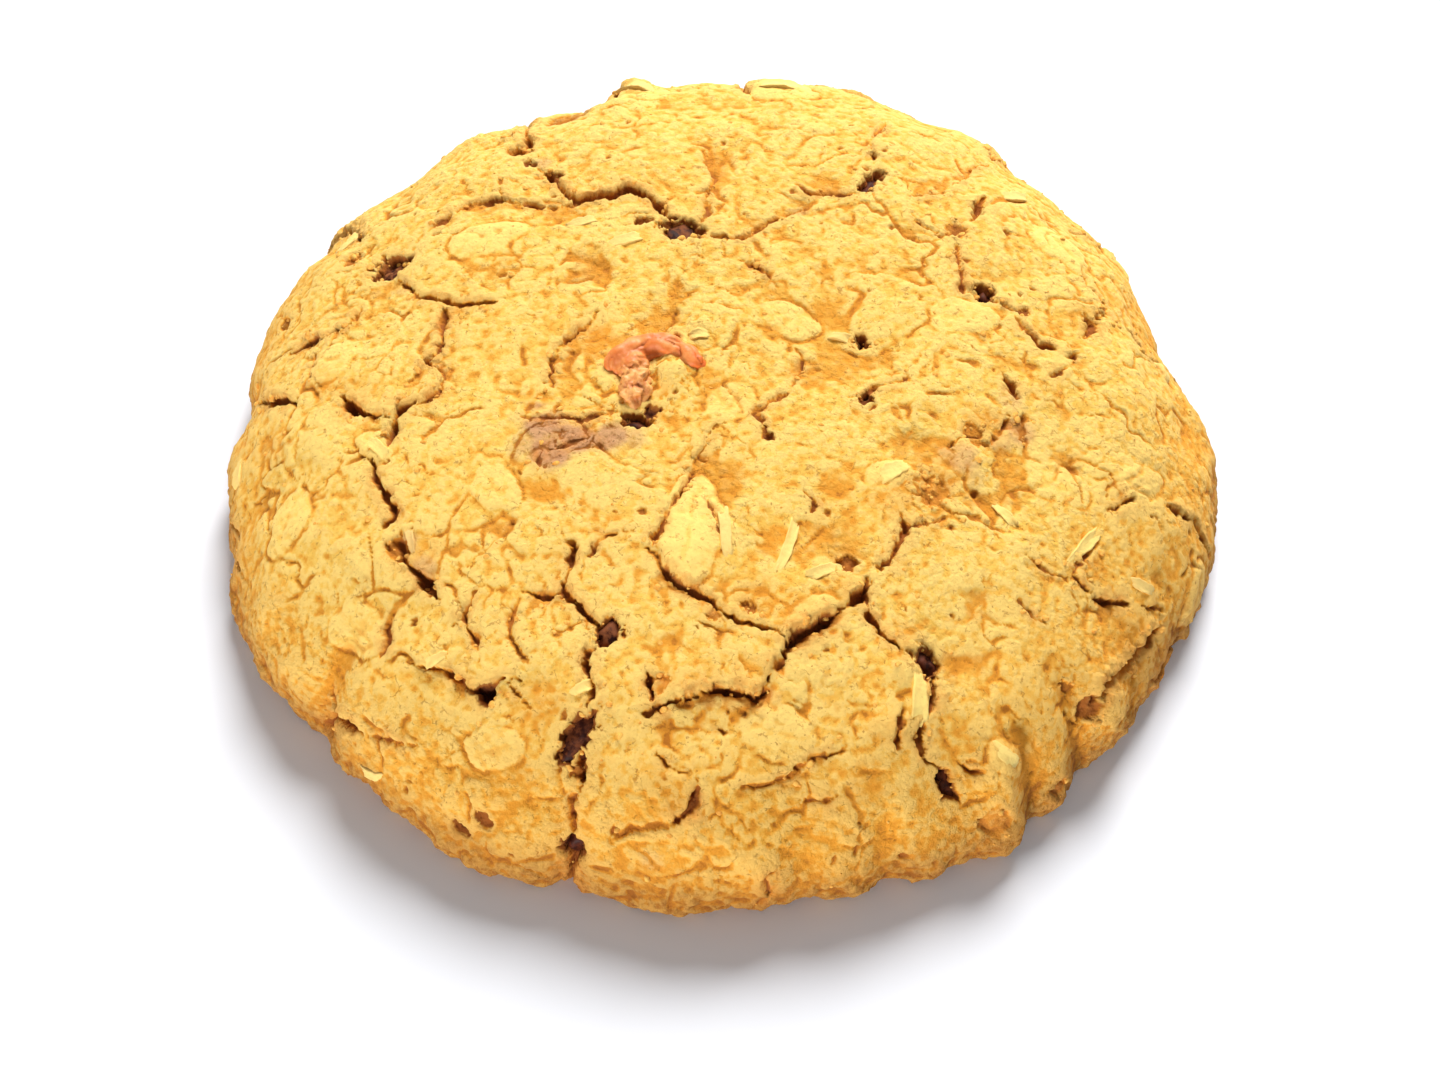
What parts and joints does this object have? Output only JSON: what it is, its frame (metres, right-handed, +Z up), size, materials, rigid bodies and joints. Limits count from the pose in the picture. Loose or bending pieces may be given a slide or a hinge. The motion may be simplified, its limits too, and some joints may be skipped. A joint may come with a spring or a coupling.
{
  "type": "cowboy cookie",
  "caption": "Thick domed drop cookie with a cracked, craggy golden crust, oat flakes baked in, dark chocolate in its cracks and a piece of pecan on top.",
  "frame": {"origin": "middle of the cookie's plan box at its underside, where it lies on the tray", "axes": "+Z up through the dome, -Y towards the side shown nearest in the picture, +X to the right seen from there"},
  "size_m": [0.0822, 0.0844, 0.0202],
  "materials": {
    "crust": "dry, craggy baked dough, golden with browned edges",
    "chocolate": "dark chocolate, satin where it melted",
    "nut": "toasted pecan, satin reddish skin and pale broken flesh"
  },
  "bodies": {
    "root": {"dough": "crust", "pecan_piece": "nut", "chocolate_piece_1": "chocolate", "chocolate_piece_2": "chocolate", "chocolate_piece_3": "chocolate", "chocolate_piece_4": "chocolate", "chocolate_piece_5": "chocolate", "chocolate_piece_6": "chocolate", "chocolate_piece_7": "chocolate", "chocolate_piece_8": "chocolate", "chocolate_piece_9": "chocolate", "chocolate_piece_10": "chocolate"}
  },
  "joints": []
}
